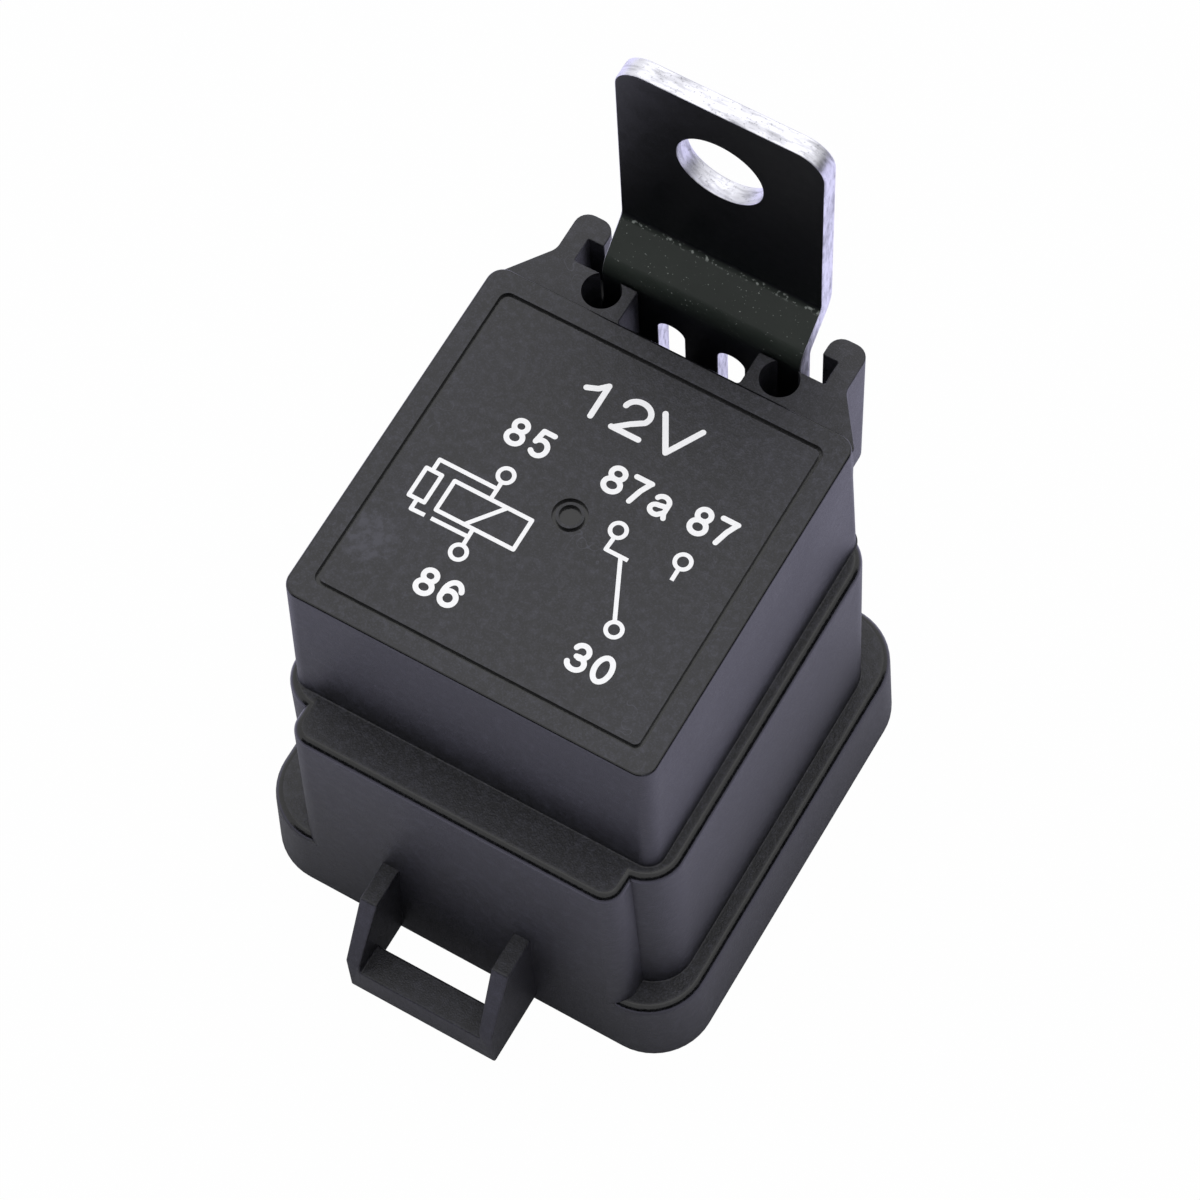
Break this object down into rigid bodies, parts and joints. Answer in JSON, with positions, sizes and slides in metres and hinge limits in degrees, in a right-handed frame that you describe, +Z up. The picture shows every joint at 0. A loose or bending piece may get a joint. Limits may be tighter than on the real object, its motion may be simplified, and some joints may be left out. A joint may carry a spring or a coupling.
{
  "type": "automotive relay",
  "caption": "Sealed black plastic relay with a stepped skirted cover, blade terminals in a recessed socket, a locking loop and a clip-in steel mounting bracket.",
  "frame": {"origin": "middle of the whole part's footprint, on the plane of the skirt's rim", "axes": "+Z up from the skirt's rim to the bracket's top edge, -Y towards the locking loop, +Y towards the bracket, +X to the right seen from the loop's side"},
  "size_m": [0.0358, 0.0458, 0.0628],
  "materials": {
    "black_plastic": "matt, fine grain, glass-filled",
    "black_coated_steel": "black electro-coat, satin",
    "base_plastic": "matt",
    "epoxy_seal": "poured, semi-gloss",
    "brass": "stamped",
    "magnet_steel": "zinc plated",
    "core_steel": "turned",
    "bobbin_nylon": "natural nylon",
    "copper": "enamelled copper wire",
    "spring_bronze": "rolled bronze strip",
    "rivet_steel": "plated",
    "silver_contact": "silver alloy",
    "resistor_body": "lacquered ceramic"
  },
  "bodies": {
    "relay": {"cover": "black_plastic", "mounting_bracket": "black_coated_steel", "base": "base_plastic", "potting_seal": "epoxy_seal", "terminal_30": "brass", "terminal_85": "brass", "terminal_86": "brass", "terminal_87": "brass", "terminal_87a": "brass", "yoke": "magnet_steel", "core": "core_steel", "bobbin": "bobbin_nylon", "coil_winding": "copper", "coil_lead_85": "copper", "coil_lead_86": "copper", "suppression_resistor": "resistor_body", "no_contact": "silver_contact", "nc_contact": "silver_contact", "return_spring": "rivet_steel", "shunt_braid": "copper"},
    "armature_assembly": {"armature": "magnet_steel", "contact_spring": "spring_bronze", "armature_rivets": "rivet_steel", "moving_contact": "silver_contact"}
  },
  "joints": [
    {"name": "armature_hinge", "type": "hinge", "parent": "relay", "child": "armature_assembly", "pos_m": [0, -0.00935, 0.03439], "axis": [-1, 0, 0], "range_deg": [0, 3], "stiffness_Nm_per_rad": 0.01, "springref_deg": -11.46, "deforming": ["return_spring", "shunt_braid"]}
  ]
}
